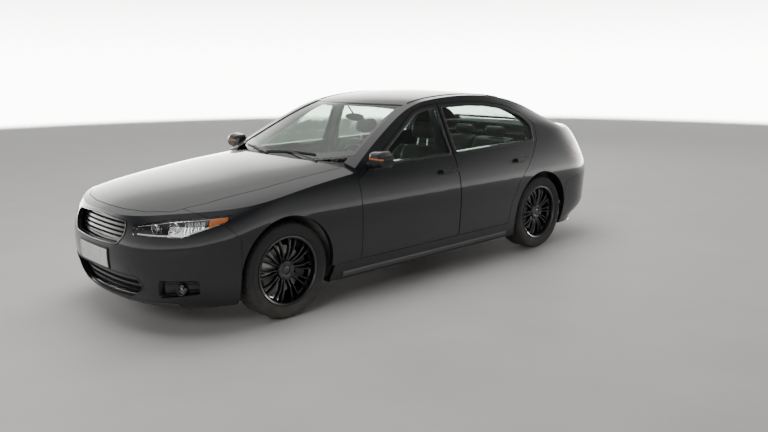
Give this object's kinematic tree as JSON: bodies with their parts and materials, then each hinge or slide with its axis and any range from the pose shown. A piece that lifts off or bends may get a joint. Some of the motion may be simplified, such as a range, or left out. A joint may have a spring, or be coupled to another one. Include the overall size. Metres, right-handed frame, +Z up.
{
  "type": "four-door sedan car",
  "caption": "Mid-size sedan with opening doors, bonnet and boot lid, steered front wheels and rolling wheels on a full cabin and chassis.",
  "frame": {"origin": "on the ground, under the middle of the car's overall box", "axes": "+X forward, +Y to the car's left, +Z up"},
  "size_m": [4.8399, 2.092, 1.45],
  "materials": {
    "paint": "gloss",
    "structure": "matte",
    "glass": "tinted",
    "lens": "clear",
    "lamp": "polished",
    "tail_lamp": "gloss",
    "grille": "gloss",
    "black_plastic": "grained",
    "cabin_plastic": "grained",
    "seat": "satin",
    "felt": "felt",
    "tyre": "matte",
    "rim": "dark satin",
    "steel": "cast",
    "engine": "cast",
    "exhaust": "satin"
  },
  "bodies": {
    "body": {"floor_pan": "structure", "body_side_left": "paint", "body_side_right": "paint", "roof_panel": "paint", "windscreen": "glass", "rear_window": "glass", "front_fender_left": "paint", "front_fender_right": "paint", "front_bumper": "paint", "grilles": "grille", "head_lamps": "lamp", "head_lamp_lenses": "lens", "tail_lamps": "tail_lamp", "rear_bumper": "paint", "wheel_liners": "felt", "front_suspension": "steel", "rear_suspension": "steel", "engine_block": "engine", "radiator": "engine", "fuel_tank": "black_plastic", "exhaust": "exhaust", "dashboard": "cabin_plastic", "front_seats": "seat", "rear_seat": "seat", "parcel_shelf": "felt", "cowl_panel": "black_plastic"},
    "front_door_left": {"door_front_left": "paint", "glass_front_left": "glass", "mirror_left": "paint"},
    "rear_door_left": {"door_rear_left": "paint", "glass_rear_left": "glass"},
    "steering_left": {"knuckle_left": "steel"},
    "front_door_right": {"door_front_right": "paint", "glass_front_right": "glass", "mirror_right": "paint"},
    "rear_door_right": {"door_rear_right": "paint", "glass_rear_right": "glass"},
    "steering_right": {"knuckle_right": "steel"},
    "bonnet_lid": {"bonnet": "paint"},
    "boot": {"boot_lid": "paint"},
    "hand_wheel": {"steering_wheel": "seat"},
    "wheel_front_left": {"tyre_front_left": "tyre", "rim_front_left": "rim"},
    "wheel_front_right": {"tyre_front_right": "tyre", "rim_front_right": "rim"},
    "wheel_rear_left": {"tyre_rear_left": "tyre", "rim_rear_left": "rim"},
    "wheel_rear_right": {"tyre_rear_right": "tyre", "rim_rear_right": "rim"}
  },
  "joints": [
    {"name": "front_door_left_hinge", "type": "hinge", "parent": "body", "child": "front_door_left", "pos_m": [0.81776, 0.921, 0.6], "axis": [0, 0, -1], "range_deg": [0, 65]},
    {"name": "rear_door_left_hinge", "type": "hinge", "parent": "body", "child": "rear_door_left", "pos_m": [-0.24802, 0.921, 0.6], "axis": [0, 0, -1], "range_deg": [0, 65]},
    {"name": "front_door_right_hinge", "type": "hinge", "parent": "body", "child": "front_door_right", "pos_m": [0.81776, -0.921, 0.6], "axis": [0, 0, 1], "range_deg": [0, 65]},
    {"name": "rear_door_right_hinge", "type": "hinge", "parent": "body", "child": "rear_door_right", "pos_m": [-0.24802, -0.921, 0.6], "axis": [0, 0, 1], "range_deg": [0, 65]},
    {"name": "bonnet_hinge", "type": "hinge", "parent": "body", "child": "bonnet_lid", "pos_m": [0.86, 0, 0.968], "axis": [0, -1, 0], "range_deg": [0, 55]},
    {"name": "boot_hinge", "type": "hinge", "parent": "body", "child": "boot", "pos_m": [-1.972, 0, 1.098], "axis": [0, 1, 0], "range_deg": [0, 75]},
    {"name": "steer_left", "type": "hinge", "parent": "body", "child": "steering_left", "pos_m": [1.465, 0.722, 0.214], "axis": [-0.0333, -0.2165, 0.9757], "range_deg": [-34, 34]},
    {"name": "steer_right", "type": "hinge", "parent": "body", "child": "steering_right", "pos_m": [1.465, -0.722, 0.214], "axis": [-0.0333, 0.2165, 0.9757], "range_deg": [-34, 34]},
    {"name": "hand_wheel_spin", "type": "hinge", "parent": "body", "child": "hand_wheel", "pos_m": [0.34715, 0.37, 0.88015], "axis": [-0.9135, 0, 0.4067], "range_deg": [-500, 500]},
    {"name": "wheel_front_left_spin", "type": "hinge", "parent": "steering_left", "child": "wheel_front_left", "pos_m": [1.465, 0.782, 0.334], "axis": [0, 1, 0], "continuous": true},
    {"name": "wheel_front_right_spin", "type": "hinge", "parent": "steering_right", "child": "wheel_front_right", "pos_m": [1.465, -0.782, 0.334], "axis": [0, 1, 0], "continuous": true},
    {"name": "wheel_rear_left_spin", "type": "hinge", "parent": "body", "child": "wheel_rear_left", "pos_m": [-1.365, 0.782, 0.334], "axis": [0, 1, 0], "continuous": true},
    {"name": "wheel_rear_right_spin", "type": "hinge", "parent": "body", "child": "wheel_rear_right", "pos_m": [-1.365, -0.782, 0.334], "axis": [0, 1, 0], "continuous": true}
  ],
  "couplings": [
    {"joint": "steer_right", "follows": "steer_left", "ratio": 1},
    {"joint": "hand_wheel_spin", "follows": "steer_left", "ratio": 14}
  ]
}
